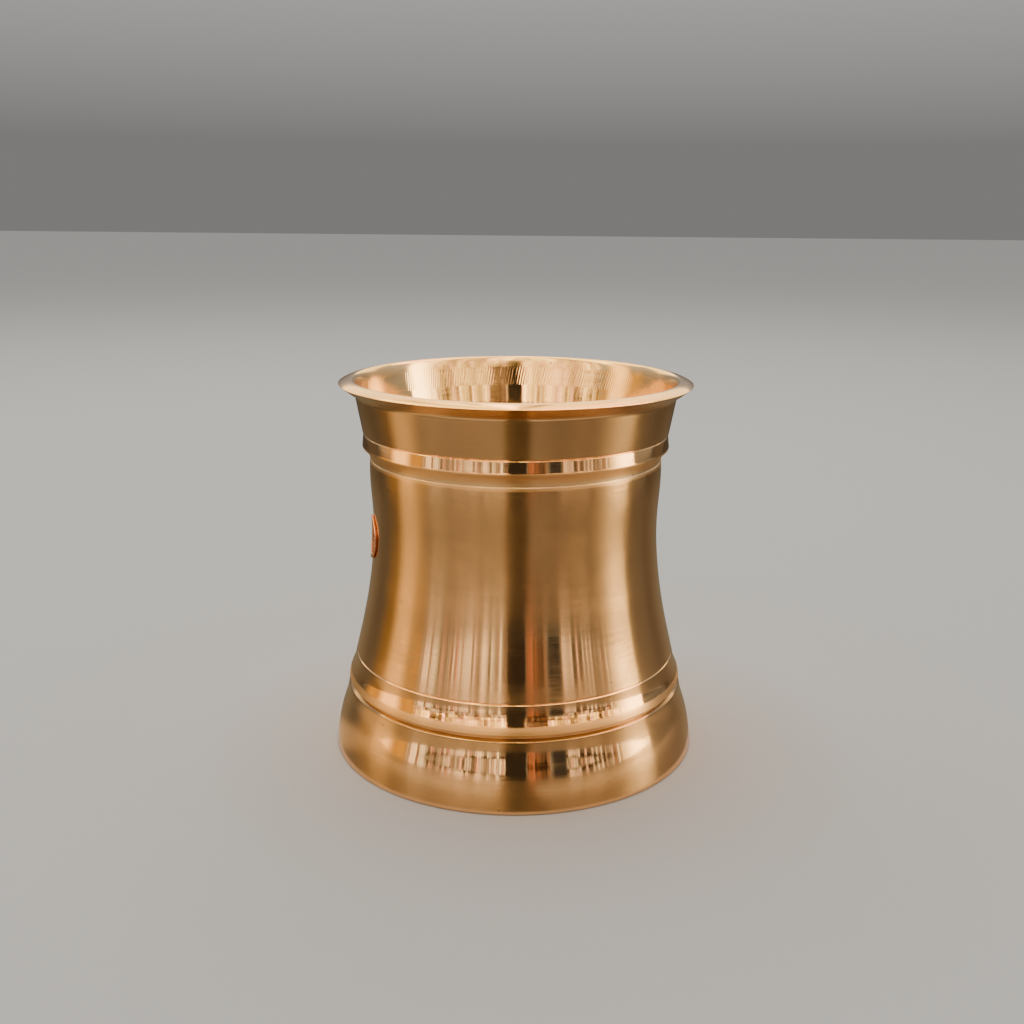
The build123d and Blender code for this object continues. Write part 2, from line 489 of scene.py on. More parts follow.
@dataclass(frozen=True)
class TurnedBrass:
    """Coppery brass with lathe rings, zones of polish, light tarnish, fine scratches and painted light."""

    BUMP_DEPTH = 0.007
    CREASE_REACH = 0.6
    SPECK_COLOUR = (0.16, 0.09, 0.05)
    SPECK_STRENGTH = 0.7
    GRAIN_AROUND = 2600.0
    GRAIN_ACROSS = 260.0
    CHATTER_MARKS = 330.0
    CHATTER_LEAN = 1500.0
    CHATTER_HEIGHT = 0.7

    name: str
    zones: tuple[Zone, ...] = ()
    polish: Polish = Polish.SATIN
    colour: Colour = (0.90, 0.54, 0.24)
    tarnish: Colour = (0.62, 0.36, 0.17)
    # Paler, yellower colour inside the bore: painted light.
    bore_painted_light: Colour = (0.95, 0.64, 0.30)
    creases: tuple[float, ...] = ()
    # Band by each crease: a painted highlight when pale, painted shade when dark.
    crease_light_and_shade: Colour = (0.80, 0.58, 0.34)
    ring_depth: float = 0.5
    chatter: tuple[float, float] | None = None
    anisotropy: float = 0.85
    grain: float = 0.0
    seed: float = 0.0

    def material(self) -> bpy.types.Material:
        """Build the node material.

        Returns:
            The material, with every constant on the shader's own sockets.
        """
        material, graph = new_material(self.name)
        spot = Surface(graph, self.seed)
        polish = self._polish(spot)
        graph.metal(self._colour(spot), self._roughness(spot, polish), self._relief(spot, polish),
                    self.ring_depth, self.BUMP_DEPTH, {
                        "Tangent": graph.out("ShaderNodeTangent", direction_type="RADIAL", axis="Z"),
                        "Anisotropic": self.anisotropy, "Anisotropic Rotation": 0.25})
        return material

    def _colour(self, spot: Surface) -> Socket:
        """Darken it in clouds, rings and specks, and paint light and shade: the bore paler, bands by the
        creases.

        Args:
            spot: what the brass reads.

        Returns:
            The colour's output.
        """
        graph = spot.graph
        shade = graph.math("MAXIMUM", graph.ramp(spot.clouds, 0.42, 0.75, 0.0, 0.4),
                           graph.ramp(spot.fine, 0.5, 0.75, 0.0, 0.3))
        # Paler colour in the bore: painted light.
        colour = graph.blend(spot.bore, self.colour, self.bore_painted_light)
        colour = graph.blend(shade, colour, self.tarnish)
        # Painted light by each crease: a highlight when the crease colour is pale, shade when it is dark.
        for crease in self.creases:
            near = graph.band(spot.axes[2], crease - self.CREASE_REACH, crease + self.CREASE_REACH, 0.3)
            colour = graph.blend(near, colour, self.crease_light_and_shade)
        spots = graph.node("ShaderNodeTexVoronoi", {0: spot.place, "Scale": 260.0}, feature="F1")
        speck = graph.times(graph.math("LESS_THAN", spots.outputs["Distance"], 0.07),
                            graph.math("GREATER_THAN", spot.smudge, 0.52))
        return graph.blend(graph.times(speck, self.SPECK_STRENGTH), colour, self.SPECK_COLOUR)

    def _polish(self, spot: Surface) -> Any:
        """Find the roughness that the wheel left in each zone.

        Args:
            spot: what the brass reads.

        Returns:
            The roughness: an output, or a number if there are no zones.
        """
        graph = spot.graph
        value: Any = self.polish.value
        for zone in self.zones:
            inside = graph.band(spot.axes[2], zone.low, zone.high, zone.edge)
            if zone.bore_only:
                inside = graph.times(inside, spot.bore)
            value = graph.out("ShaderNodeMix", {0: inside, 2: value, 3: zone.polish.value})
        return value

    def _roughness(self, spot: Surface, polish: Any) -> Socket:
        """Change the polish a little by handling, wear and the rings.

        Args:
            spot: what the brass reads.
            polish: the roughness that the wheel left.

        Returns:
            The roughness output.
        """
        graph = spot.graph
        for mark, low, high, most in ((spot.smudge, 0.3, 0.8, 0.05), (spot.clouds, 0.3, 0.7, 0.03),
                                      (spot.fine, 0.3, 0.7, 0.05)):
            polish = graph.math("ADD", polish, graph.ramp(mark, low, high, -0.02, most))
        return polish

    def _relief(self, spot: Surface, polish: Any) -> Socket:
        """Raise rings in the surface, a rubbed grain, and chatter marks where the tool sang.

        Args:
            spot: what the brass reads.
            polish: the roughness that the wheel left; a brighter polish wears the rings away.

        Returns:
            The relief's output.
        """
        graph = spot.graph
        kept = graph.ramp(polish, Polish.MIRROR.value, Polish.SATIN.value, 0.25, 1.0)
        relief = graph.times(graph.math("MULTIPLY_ADD", spot.coarse, 2.5, spot.fine), kept)
        if self.grain:
            grain = graph.noise(graph.stretch(spot.axes, self.GRAIN_AROUND, self.GRAIN_ACROSS), 1.0, 2.0)
            relief = graph.math("MULTIPLY_ADD", grain, graph.times(kept, self.grain), relief)
        if self.chatter:
            angle = graph.math("ARCTAN2", spot.axes[1], spot.axes[0])
            lean = graph.times(spot.axes[2], self.CHATTER_LEAN)
            wave = graph.math("SINE", graph.math("MULTIPLY_ADD", angle, self.CHATTER_MARKS, lean))
            zone = graph.times(graph.band(spot.axes[2], *self.chatter, 0.3), spot.bore)
            relief = graph.math("MULTIPLY_ADD", wave, graph.times(zone, self.CHATTER_HEIGHT), relief)
        return relief


@dataclass(frozen=True)
class PressedCopper:
    """Copper of the medallion: worn bright on what stands up, red-brown in the hollows."""

    GRIME_DEPTH = 0.08

    name: str
    hollow: float
    top: float
    bright: Colour = (0.96, 0.60, 0.43)
    dark: Colour = (0.42, 0.13, 0.06)

    def material(self) -> bpy.types.Material:
        """Build the node material.

        Returns:
            The material, which reads how far each spot stands up from the mesh's "rise".
        """
        material, graph = new_material(self.name)
        rise = graph.node("ShaderNodeAttribute", attribute_name="rise").outputs["Fac"]
        grime = graph.noise(graph.place(), 900.0, 4.0)
        level = graph.math("MULTIPLY_ADD", grime, self.GRIME_DEPTH * MM, rise)
        high = graph.ramp(level, self.hollow + self.GRIME_DEPTH / 2.0 * MM, self.top)
        graph.metal(graph.blend(high, self.dark, self.bright), graph.ramp(high, 0.0, 1.0, 0.5, 0.24),
                    grime, 0.4, 0.03)
        return material


@dataclass(frozen=True)
class FillerMetal:
    """Braze or solder as it set: mottled, with a little flux left on it."""

    name: str
    metal: Colour
    flux: Colour
    roughness: float

    def material(self) -> bpy.types.Material:
        """Build the node material.

        Returns:
            The material.
        """
        material, graph = new_material(self.name)
        mottle = graph.noise(graph.place(), 700.0, 4.0)
        graph.metal(graph.blend(graph.ramp(mottle, 0.42, 0.6), self.metal, self.flux),
                    graph.ramp(mottle, 0.0, 1.0, self.roughness - 0.1, self.roughness + 0.15),
                    mottle, 0.5, 0.05)
        return material


# ---------------------------------------------------------------- the lathe


class Tree:
    """Geometry Nodes tree with named inputs, which are set by their sockets' identifiers."""

    def __init__(self, name: str, inputs: dict[str, str]) -> None:
        """Build the tree once.

        Args:
            name: the tree's name.
            inputs: the kind of each input beside the start mesh and the finish.
        """
        self.tree = bpy.data.node_groups.new(name, "GeometryNodeTree")
        face = self.tree.interface
        self.ids = {
            key: face.new_socket(name=key, in_out="INPUT", socket_type="NodeSocket" + kind).identifier
            for key, kind in {"Start": "Geometry", **inputs, "Finish": "Material"}.items()}
        face.new_socket(name="Made", in_out="OUTPUT", socket_type="NodeSocketGeometry")
        graph = Graph(self.tree)
        given = graph.node("NodeGroupInput").outputs
        made = graph.out("GeometryNodeRealizeInstances", {0: self._wire(graph, given)})
        made = graph.out("GeometryNodeSetMaterial", {0: made, "Material": given["Finish"]})
        graph.node("NodeGroupOutput", {0: made})

    def _wire(self, graph: Graph, given: Any) -> Socket:
        """Add the nodes between the inputs and the finish.

        Args:
            graph: the tree's graph.
            given: the outputs of the group's input node.

        Returns:
            The output with the geometry.
        """
        raise NotImplementedError

    def run(self, start: bpy.types.Mesh, values: dict[str, Any]) -> bpy.types.Mesh:
        """Run the tree on a mesh and keep what it makes.

        Args:
            start: the mesh that goes in.
            values: the value of each named input.

        Returns:
            A new plain mesh.
        """
        holder = new_object("holder", start)
        modifier = holder.modifiers.new("tree", "NODES")
        modifier.node_group = self.tree
        for key, value in values.items():
            modifier[self.ids[key]] = value
        holder.update_tag()
        depsgraph = bpy.context.evaluated_depsgraph_get()
        mesh = bpy.data.meshes.new_from_object(holder.evaluated_get(depsgraph))
        bpy.data.objects.remove(holder)
        bpy.data.meshes.remove(start)
        return mesh


class Lathe(Tree):
    """Tree that spins a half section and leaves faint hand-turned waves in it."""

    PATH_RADIUS = 0.05
    AROUND = 14.0

    def __init__(self) -> None:
        """Build the tree."""
        super().__init__("lathe", {
            "Facets": "Int", "Wave Depth": "Float", "Wave Pitch": "Float", "Seed": "Float"})

    def _wire(self, graph: Graph, given: Any) -> Socket:
        """Spin the section round a circle, wave it and smooth it.

        Args:
            graph: the tree's graph.
            given: the outputs of the group's input node.

        Returns:
            The output with the geometry.
        """
        section = graph.out("GeometryNodeMeshToCurve", {0: given["Start"]})
        section = graph.out("GeometryNodeTransform", {
            0: section, "Translation": (-self.PATH_RADIUS, 0.0, 0.0)})
        section = graph.out("GeometryNodeTransform", {0: section, "Scale": (1.0, -1.0, 1.0)})
        path = graph.out("GeometryNodeCurvePrimitiveCircle", {
            "Resolution": given["Facets"], "Radius": self.PATH_RADIUS})
        path = graph.out("GeometryNodeSetCurveNormal", {0: path}, mode="Z_UP")
        body = graph.out("GeometryNodeCurveToMesh", {0: path, "Profile Curve": section})
        body = graph.out("GeometryNodeSetPosition", {0: body, "Offset": self._waves(graph, given)})
        return graph.out("GeometryNodeSetShadeSmooth", {0: body})

    def _waves(self, graph: Graph, given: Any) -> Socket:
        """Offset along the radius that changes from ring to ring and hardly at all on the way round.

        Args:
            graph: the tree's graph.
            given: the outputs of the group's input node.

        Returns:
            The offset vector's output.
        """
        axes = graph.split(graph.out("GeometryNodeInputPosition"))
        radius, outward = graph.radial(axes)
        across = graph.math("DIVIDE", 1.0, given["Wave Pitch"])
        rings = graph.rings(axes, radius, self.AROUND, across, given["Seed"], 1.0)
        depth = graph.times(graph.math("SUBTRACT", rings, 1.0), given["Wave Depth"])
        return graph.out("ShaderNodeVectorMath", {0: outward, "Scale": depth}, operation="SCALE")

    def turn(self, name: str, outline: Outline, finish: bpy.types.Material, closed: bool = True,
             facets: int = 256, wave_depth: float = 0.02, wave_pitch: float = 2.5, seed: float = 1.0,
             corner: float = 0.07) -> bpy.types.Object:
        """Turn one piece.

        Args:
            name: the piece's name.
            outline: its half section, in millimetres.
            finish: its material.
            closed: whether the outline closes on itself, and doesn't end on the axis.
            facets: number of facets round the axis.
            wave_depth: depth of the hand-turned waves, in millimetres.
            wave_pitch: distance between them, in millimetres.
            seed: which waves.
            corner: size of the softened corners, in millimetres.

        Returns:
            The finished piece, a plain mesh.
        """
        points = outline.softened(closed, corner)
        count = len(points)
        edges = [(i, i + 1) for i in range(count - 1)] + ([(count - 1, 0)] if closed else [])
        section = new_mesh(name + "_section", [(r * MM, z * MM, 0.0) for r, z in points], edges, [])
        return finished_piece(name, self.run(section, {
            "Facets": facets, "Wave Depth": wave_depth * MM, "Wave Pitch": wave_pitch * MM,
            "Seed": seed, "Finish": finish}))


def finished_piece(name: str, mesh: bpy.types.Mesh) -> bpy.types.Object:
    """Close a mesh, turn its faces outwards and put it in the scene.

    Args:
        name: the piece's name.
        mesh: its mesh, in place.

    Returns:
        The piece's object.
    """
    work = bmesh.new()
    work.from_mesh(mesh)
    bmesh.ops.remove_doubles(work, verts=work.verts, dist=MERGE_DISTANCE)
    bmesh.ops.dissolve_degenerate(work, edges=work.edges, dist=DEGENERATE_SIZE)
    bmesh.ops.recalc_face_normals(work, faces=work.faces)
    work.to_mesh(mesh)
    work.free()
    mesh.name = name
    mesh.shade_smooth()
    mesh.set_sharp_from_angle(angle=CREASE_ANGLE)
    return new_object(name, mesh)


def place_piece(piece: bpy.types.Object, node: str) -> None:
    """Let a piece stand for its CAD node and report it.

    Args:
        piece: the finished piece.
        node: the CAD node that it replaces.
    """
    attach(piece, BODY)
    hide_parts(node)
    LOG.info("%s stands for %s with %d faces", piece.name, node, len(piece.data.polygons))


# ---------------------------------------------------------------- the pot's sections


@dataclass
class Collar:
    """Top section: the out-turned lip, the collar, the upper bead and the socket inside it."""

    lathe: Lathe
    lip_edge: Point = (46.72, 100.0)
    lip_crest: Point = (43.3, 101.13)
    throat: Point = (41.45, 97.0)
    bore_foot: Point = (39.35, 88.2)
    collar_top: Point = (42.35, 96.2)
    collar_end: Point = (40.72, 87.2)
    bead_top: Point = (40.55, 86.7)
    bead_nose: Point = (40.85, 83.8)
    crease: Point = (38.85, 80.3)
    socket_r: float = 38.3
    socket_top: float = 85.3
    bore_r: float = 37.55

    def outline(self) -> Outline:
        """Draw the half section, from the lip's edge down the outside and back up the bore.

        Returns:
            The outline.
        """
        under_bead = (40.55, 83.15)
        pen = Outline(self.lip_edge)
        pen.line((44.2, 98.1), step=0.25).arc((42.75, 97.25), self.collar_top)
        pen.line(self.collar_end, step=0.3).line((40.35, 86.95), self.bead_top, step=0.15)
        pen.line(self.bead_nose, step=0.25).arc((40.83, 83.4), under_bead, step=0.08)
        pen.arc((39.45, 81.9), self.crease)
        pen.line((self.socket_r, self.crease[1]), step=0.3).line((self.socket_r, self.socket_top), step=1.5)
        pen.line((self.bore_r, self.socket_top), step=0.4)
        pen.curve((38.9, 86.7), self.bore_foot, leave=(0.8, 1.0), arrive=(0.239, 1.0), step=0.3)
        pen.line(self.throat, step=0.3)
        pen.curve((42.12, 99.6), self.lip_crest, leave=(0.239, 1.0), arrive=(1.0, 0.0), step=0.15)
        pen.curve((45.3, 100.73), self.lip_edge, leave=(1.0, -0.05), arrive=(1.0, -0.75), step=0.15)
        return pen

    def build(self) -> None:
        """Turn the section and give it its finish."""
        finish = TurnedBrass(
            "brass_collar",
            zones=(Zone(83.9, 86.9, Polish.MIRROR, 0.1), Zone(80.0, 83.7, Polish.CLOUDY, 0.4),
                   Zone(98.0, 102.0, Polish.SATIN, 0.4),
                   Zone(70.0, 98.0, Polish.BRIGHT, 0.5, bore_only=True)),
            creases=(self.crease[1],),
            ring_depth=1.0,
            chatter=(93.0, 98.2),
            seed=3.0)
        piece = self.lathe.turn("turned_collar", self.outline(), finish.material(), seed=7.0)
        place_piece(piece, "collar")


@dataclass
class WaistDrum:
    """Middle section: a spigot for the collar, the waisted wall and the lower bead."""

    lathe: Lathe
    wall: float = 1.3
    top_r: float = 38.98
    crease: Point = (38.85, 80.3)
    ridge: Point = (39.06, 76.0)
    narrow: Point = (38.48, 65.5)
    flare: tuple[Point, ...] = ((39.2, 50.0), (40.75, 40.0), (42.95, 30.0))
    flare_end: Point = (43.72, 26.75)
    bead_top: Point = (43.85, 26.3)
    bead_nose: Point = (45.9, 19.7)
    lower_crease: Point = (45.15, 18.3)
    spigot_r: float = 38.2
    spigot_top: float = 85.2
    socket_r: float = 43.65
    socket_top: float = 23.1
    socket_bore_r: float = 42.65

    def outline(self) -> Outline:
        """Draw the half section, from the top of the bore over the spigot, down and back up.

        Returns:
            The outline.
        """
        bore_r = self.crease[0] - self.wall
        shoulder_z = self.crease[1] - 0.1
        inner = [(r - self.wall, z) for r, z in (*reversed(self.flare), self.narrow, self.ridge)]
        pen = Outline((bore_r, self.spigot_top))
        pen.line((self.spigot_r, self.spigot_top), step=0.3).line((self.spigot_r, shoulder_z), step=1.5)
        pen.line((self.top_r - 0.2, shoulder_z), (self.top_r, shoulder_z - 0.25), step=0.15)
        pen.curve(self.ridge, self.narrow, *self.flare, self.flare_end, step=0.36)
        pen.line((43.55, 26.5), self.bead_top, step=0.15)
        pen.curve((44.7, 23.0), self.bead_nose, leave=(0.2, -1.0), arrive=(0.1, -1.0), step=0.2)
        pen.arc((45.93, 19.3), (45.75, 18.95), step=0.08)
        pen.line(self.lower_crease, (self.socket_r, self.lower_crease[1]), step=0.25)
        pen.line((self.socket_r, self.socket_top), step=1.5)
        pen.line((self.socket_bore_r, self.socket_top), step=0.4)
        pen.curve(*inner, (bore_r, self.spigot_top), step=0.8)
        return pen

    def build(self) -> None:
        """Turn the section and give it its finish."""
        finish = TurnedBrass(
            "brass_waist",
            zones=(Zone(21.4, 26.5, Polish.MIRROR, 0.1), Zone(30.0, 46.0, Polish.BRIGHT, 4.0),
                   Zone(17.0, 21.2, Polish.CLOUDY, 0.3), Zone(79.2, 81.0, Polish.CLOUDY, 0.5),
                   Zone(20.0, 90.0, Polish.TOOLED, 0.5, bore_only=True)),
            creases=(self.lower_crease[1], self.crease[1]),
            seed=11.0)
        piece = self.lathe.turn("turned_waist", self.outline(), finish.material(), seed=2.0)
        place_piece(piece, "waist_drum")


@dataclass
class FootSkirt:
    """Bottom section: a spigot for the waist, the flared skirt and the ring that it stands on."""

    lathe: Lathe
    foot_r: float = 49.93
    chamfer: float = 0.25
    seat_r: float = 48.4
    seat_top: float = 4.7
    spigot_r: float = 43.55
    spigot_bore_r: float = 42.65
    spigot_top: float = 23.0
    skirt_top: Point = (46.05, 17.6)

    def outline(self) -> Outline:
        """Draw the half section, from the bore over the spigot, down the skirt and back up.

        Returns:
            The outline.
        """
        pen = Outline((self.spigot_bore_r, 18.6))
        pen.line((self.spigot_bore_r, self.spigot_top), step=0.8)
        pen.line((self.spigot_r, self.spigot_top), step=0.3).line((self.spigot_r, 18.2), step=1.5)
        pen.line((45.1, 18.2), self.skirt_top, step=0.25)
        pen.curve((46.75, 14.3), (48.12, 10.0), (49.25, 5.0), (self.foot_r, self.chamfer), step=0.3)
        pen.line((self.foot_r - self.chamfer, 0.0), (self.seat_r, 0.0), step=0.2)
        pen.line((self.seat_r, self.seat_top), step=1.5).line((self.seat_r - 0.6, self.seat_top), step=0.2)
        pen.curve((46.7, 10.0), (45.1, 14.8), (self.spigot_bore_r, 18.6), step=0.6)
        return pen

    def build(self) -> None:
        """Turn the section and give it its finish."""
        finish = TurnedBrass(
            "brass_foot",
            zones=(Zone(9.0, 17.8, Polish.MIRROR, 1.5), Zone(-1.0, 0.35, Polish.MIRROR, 0.1)),
            creases=(18.0,),
            # Dark band by the skirt's crease: painted shade.
            crease_light_and_shade=(0.42, 0.25, 0.12),
            grain=1.5,
            seed=19.0)
        piece = self.lathe.turn("turned_foot", self.outline(), finish.material(), seed=5.0)
        place_piece(piece, "foot_skirt")


@dataclass
class BottomPlate:
    """Crowned bottom with a turned-down flange and the shallow rings that its tool left."""

    lathe: Lathe
    rim_r: float = 48.3
    top: float = 4.7
    thickness: float = 1.5
    crown: float = 0.9
    flange_bottom: float = 0.6
    flange_width: float = 1.5
    ring_radii: tuple[float, ...] = (9.0, 18.0, 19.2, 36.0, 37.2)
    ring_depth: float = 0.22
    ring_width: float = 0.35

    def _face(self, pen: Outline, level: float, outward: bool, side: float) -> None:
        """Draw a crowned face with its tool rings.

        Args:
            pen: the outline to draw with.
            level: height of the face at the flange.
            outward: whether to draw from the axis outwards.
            side: -1 to cut the rings down into an upper face, 1 to cut them up into a lower one.
        """
        flange_bore = self.rim_r - self.flange_width
        radii = np.append(np.arange(0.0, flange_bore, 0.4), flange_bore)
        for r in radii if outward else radii[::-1]:
            height = level + self.crown * (1.0 - (r / flange_bore) ** 2)
            for ring in self.ring_radii:
                height += side * self.ring_depth * math.exp(-((r - ring) / self.ring_width) ** 2)
            pen.points.append((float(r), height))

    def outline(self) -> Outline:
        """Draw the half section, from the axis out under the plate and back over it.

        Returns:
            The outline.
        """
        under = self.top - self.thickness
        bore = self.rim_r - self.flange_width
        pen = Outline()
        self._face(pen, under, outward=True, side=1.0)
        pen.line((bore, self.flange_bottom), (self.rim_r, self.flange_bottom), step=0.5)
        pen.line((self.rim_r, self.top), (bore + 0.2, self.top), step=0.8)
        self._face(pen, self.top, outward=False, side=-1.0)
        return pen

    def build(self) -> None:
        """Turn the plate and give it its finish."""
        finish = TurnedBrass(
            "brass_bottom", colour=(0.83, 0.50, 0.28), tarnish=(0.50, 0.28, 0.15), ring_depth=0.8, seed=27.0)
        piece = self.lathe.turn("spun_bottom", self.outline(), finish.material(), closed=False,
                                facets=224, wave_depth=0.0, seed=9.0)
        place_piece(piece, "bottom_plate")


@dataclass
class FillerRing:
    """Braze or solder drawn into a lap, with the thin line of it that shows in the crease."""

    lathe: Lathe
    name: str
    node: str
    slot: str
    corners: tuple[Point, ...]
    finish: FillerMetal

    def build(self) -> None:
        """Turn the ring and give it its finish."""
        pen = Outline(self.corners[0]).line(*self.corners[1:], self.corners[0], step=0.7)
        piece = self.lathe.turn(self.name, pen, self.finish.material(), facets=192, wave_depth=0.0,
                                corner=0.02)
        place_piece(piece, self.node)


# ---------------------------------------------------------------- the medallion


class Rosette(Tree):
    """Tree that sets petals and beads round a centre, all facing +Z."""

    def __init__(self) -> None:
        """Build the tree."""
        super().__init__("rosette", {
            "Count": "Int", "Ring Radius": "Float", "Size": "Vector", "Level": "Float"})

    def _wire(self, graph: Graph, given: Any) -> Socket:
        """Set one drop on each point of a ring, turned away from the centre.

        Args:
            graph: the tree's graph.
            given: the outputs of the group's input node.

        Returns:
            The output with the geometry.
        """
        ring = graph.out("GeometryNodeMeshCircle", {
            "Vertices": given["Count"], "Radius": given["Ring Radius"]})
        drop = graph.out("GeometryNodeMeshUVSphere", {"Segments": 12, "Rings": 8, "Radius": 1.0})
        drop = graph.out("GeometryNodeSetShadeSmooth", {0: drop})
        turn = graph.out("FunctionNodeAlignRotationToVector", {
            "Vector": graph.out("GeometryNodeInputPosition")}, axis="X", pivot_axis="Z")
        petals = graph.out("GeometryNodeInstanceOnPoints", {
            "Points": ring, "Instance": drop, "Rotation": turn, "Scale": given["Size"]})
        return graph.out("GeometryNodeTransform", {0: petals, "Translation": graph.vector(z=given["Level"])})

    def relief(self, count: int, ring_radius: float, size: tuple[float, float, float], level: float,
               finish: bpy.types.Material) -> bpy.types.Mesh:
        """Make one ring of petals or beads.

        Args:
            count: how many.
            ring_radius: radius of their centres, in millimetres.
            size: half length outwards, half width and height of each, in millimetres.
            level: height of their centres, in millimetres.
            finish: their material.

        Returns:
            A plain mesh round the origin, facing +Z.
        """
        return self.run(bpy.data.meshes.new("start"), {
            "Count": count, "Ring Radius": ring_radius * MM, "Size": tuple(Vector(size) * MM),
            "Level": level * MM, "Finish": finish})


@dataclass
class SideMedallion:
    """Round pressed medallion, bent to the wall, with a raised rim, beads and a rosette of petals."""

    lathe: Lathe
    radius: float = 5.84
    rim_top: float = 0.5
    field_top: float = 0.25
    boss_top: float = 0.38
    rim_width: float = 0.9
    solder_depth: float = 0.1
    pad_radius: float = 5.2
    pad_bottom: float = -0.05
    pad_rings: int = 8
    pad_facets: int = 64
    reach_out: float = 0.06
    turn: float = field(init=False)
    height: float = field(init=False)
    wall: BVHTree = field(init=False)

    def __post_init__(self) -> None:
        """Find the medallion's place from its CAD node, and the wall that it sits on."""
        corners = [v.co for v in bpy.data.objects["side_medallion"].data.vertices]
        turns = [math.atan2(-co.x, -co.y) for co in corners]
        heights = [co.z for co in corners]
        self.turn = (min(turns) + max(turns)) / 2.0
        self.height = (min(heights) + max(heights)) / 2.0
        skin = bmesh.new()
        skin.from_mesh(bpy.data.objects["turned_waist"].data)
        self.wall = BVHTree.FromBMesh(skin)
        skin.free()

    def on_wall(self, local: Vector) -> Vector:
        """Bend a point of the flat medallion to the waist's outer wall.

        Args:
            local: metres to the right and up from the medallion's middle, and out from the wall.

        Returns:
            The point in the scene.
        """
        height = self.height + local.y
        angle = self.turn
        for _ in range(2):
            out = Vector((-math.sin(angle), -math.cos(angle), 0.0))
            spot = self.wall.ray_cast(out * self.reach_out + Vector((0.0, 0.0, height)), -out)[0]
            reach = math.hypot(spot.x, spot.y)
            angle = self.turn - local.x / reach
        out = Vector((-math.sin(angle), -math.cos(angle), 0.0))
        return out * (reach + local.z) + Vector((0.0, 0.0, height))

    def outline(self) -> Outline:
        """Draw the half section of the blank, from the middle of its back.

        Returns:
            The outline.
        """
        rim_r = self.radius - self.rim_width
        pen = Outline((0.0, 0.0))
        pen.line((self.radius - 0.04, 0.0), step=0.5).line((self.radius, self.rim_top - 0.12), step=0.12)
        pen.arc((self.radius - 0.04, self.rim_top - 0.03), (self.radius - 0.16, self.rim_top), step=0.04)
        pen.line((rim_r + 0.1, self.rim_top), step=0.15)
        pen.arc((rim_r, self.rim_top - 0.06), (rim_r - 0.06, self.field_top), step=0.05)
        pen.line((1.9, self.field_top), step=0.4)
        pen.arc((1.3, self.boss_top - 0.05), (0.0, self.boss_top), step=0.12)
        return pen

    def build(self) -> None:
        """Press the blank, set its relief on it, bend it and put it on the wall."""
        finish = PressedCopper("copper_medallion", self.field_top * MM, self.rim_top * MM).material()
        blank = self.lathe.turn("pressed_medallion", self.outline(), finish, closed=False, facets=128,
                                wave_depth=0.0, corner=0.03)
        rosette = Rosette()
        work = bmesh.new()
        work.from_mesh(blank.data)
        for count, ring, size, level in (
                (12, 3.25, (0.95, 0.42, 0.14), self.field_top),
                (12, 2.15, (0.4, 0.22, 0.12), self.field_top + 0.01),
                (40, 4.6, (0.15, 0.15, 0.13), self.field_top + 0.03),
                (1, 0.0001, (0.75, 0.75, 0.1), self.boss_top)):
            work.from_mesh(rosette.relief(count, ring, size, level, finish))
        bmesh.ops.recalc_face_normals(work, faces=work.faces)
        rises = [vert.co.z for vert in work.verts]
        for vert in work.verts:
            vert.co = self.on_wall(vert.co + Vector((0.0, 0.0, self.solder_depth * MM)))
        work.to_mesh(blank.data)
        work.free()
        blank.data.attributes.new("rise", "FLOAT", "POINT").data.foreach_set("value", rises)
        place_piece(blank, "side_medallion")

    def build_pad(self, finish: FillerMetal) -> None:
        """Fill the space between the wall and the medallion's back with solder.

        Args:
            finish: the solder's finish.
        """
        work = bmesh.new()
        front, back = (self._pad_layer(work, depth)[-1] for depth in (self.solder_depth, self.pad_bottom))
        for k in range(self.pad_facets):
            n = (k + 1) % self.pad_facets
            work.faces.new((front[k], back[k], back[n], front[n]))
        mesh = bpy.data.meshes.new("solder_pad")
        work.to_mesh(mesh)
        work.free()
        mesh.materials.append(finish.material())
        place_piece(finished_piece("solder_pad", mesh), "medallion_solder")

    def _pad_layer(self, work: bmesh.types.BMesh, depth: float) -> list[list[bmesh.types.BMVert]]:
        """Lay one uneven round face of the pad over the wall.

        Args:
            work: the mesh to add it to.
            depth: distance from the wall, in millimetres.

        Returns:
            The vertices of each ring.
        """
        rings, facets = self.pad_rings, self.pad_facets
        rows = []
        for ring in range(1, rings + 1):
            row = []
            for k in range(facets):
                angle = math.tau * k / facets
                wobble = 1.0 + 0.012 * math.sin(3.0 * angle + 1.0) + 0.01 * math.sin(7.0 * angle)
                reach = self.pad_radius * ring / rings * wobble
                local = Vector((reach * math.cos(angle), reach * math.sin(angle), depth)) * MM
                row.append(work.verts.new(self.on_wall(local)))
            rows.append(row)
        middle = work.verts.new(self.on_wall(Vector((0.0, 0.0, depth)) * MM))
        for k in range(facets):
            n = (k + 1) % facets
            work.faces.new((middle, rows[0][k], rows[0][n]))
            for inner, outer in zip(rows, rows[1:]):
                work.faces.new((inner[k], outer[k], outer[n], inner[n]))
        return rows


# ---------------------------------------------------------------- the studio


def stage_mesh(name: str, mesh: bpy.types.Mesh, material: bpy.types.Material, seen: bool = False) -> None:
    """Add a thing of the studio.

    Args:
        name: its name.
        mesh: its mesh.
        material: its material.
        seen: whether the camera sees it, and it takes part in the light on matt things.
    """
    mesh.materials.append(material)
    thing = new_object(name, mesh)
    thing.visible_camera = thing.visible_shadow = thing.visible_diffuse = seen


def around(azimuth: float, distance: float, height: float = 0.0) -> Vector:
    """Give the point at an azimuth, counted in degrees from the front (-Y) towards +X."""
    angle = math.radians(azimuth)
    return Vector((distance * math.sin(angle), -distance * math.cos(angle), height))


def azimuth_past(graph: Graph, middle: float) -> Socket:
    """Measure the azimuth round the pot's axis.

    Args:
        graph: the material's graph.
        middle: the azimuth that it is counted from, in degrees.

    Returns:
        The azimuth's output, in radians, from -pi to pi.
    """
    axes = graph.split(graph.out("ShaderNodeVectorRotate", {
        0: graph.place(), "Angle": -math.radians(middle)}, rotation_type="Z_AXIS"))
    return graph.math("ARCTAN2", axes[0], graph.times(axes[1], -1.0))


